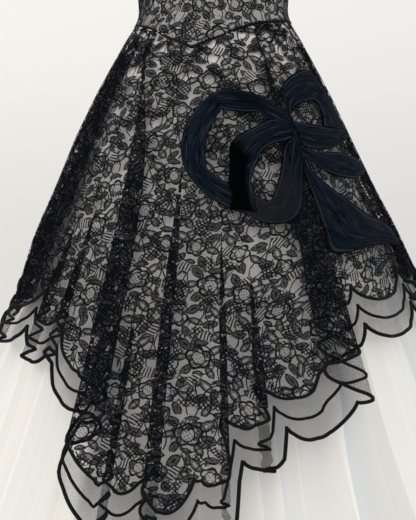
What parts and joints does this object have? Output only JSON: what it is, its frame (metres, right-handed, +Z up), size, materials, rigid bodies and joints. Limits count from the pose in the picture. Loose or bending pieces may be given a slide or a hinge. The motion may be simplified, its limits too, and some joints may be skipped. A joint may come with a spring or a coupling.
{
  "type": "ball gown",
  "caption": "Strapless ball gown: black lace bodice with a pointed waist, pointed lace overskirt with a net border and hip bow, over a full white floor-length underskirt.",
  "frame": {"origin": "middle of the waist, on the axis of the gown, where the wearer's waist carries it", "axes": "+Z up along the wearer's body, the front faces -Y, +X is the wearer's left, where the bow is"},
  "size_m": [1.1932, 1.1844, 1.3086],
  "materials": {
    "black_lace": "matt floral lace",
    "black_net": "sheer matt net",
    "black_cord": "satin cord",
    "black_ribbon": "pleated ribbon, soft sheen",
    "white_tulle": "soft matt tulle"
  },
  "bodies": {
    "root": {"basque_cord": "black_cord", "bodice_front": "black_lace", "bodice_back_left": "black_lace", "bodice_back_right": "black_lace", "overskirt_front": "black_lace", "overskirt_back": "black_lace", "border_front": "black_net", "border_back": "black_net", "cord_lace_edge": "black_cord", "cord_outer_edge": "black_cord", "bow_left_loop": "black_ribbon", "bow_cross_band": "black_ribbon", "bow_inner_band": "black_ribbon", "bow_right_loop": "black_ribbon", "bow_upper_tail": "black_ribbon", "bow_lower_tail": "black_ribbon", "bow_knot": "black_ribbon", "underskirt_front": "white_tulle", "underskirt_left": "white_tulle", "underskirt_back": "white_tulle", "underskirt_right": "white_tulle"}
  },
  "joints": []
}
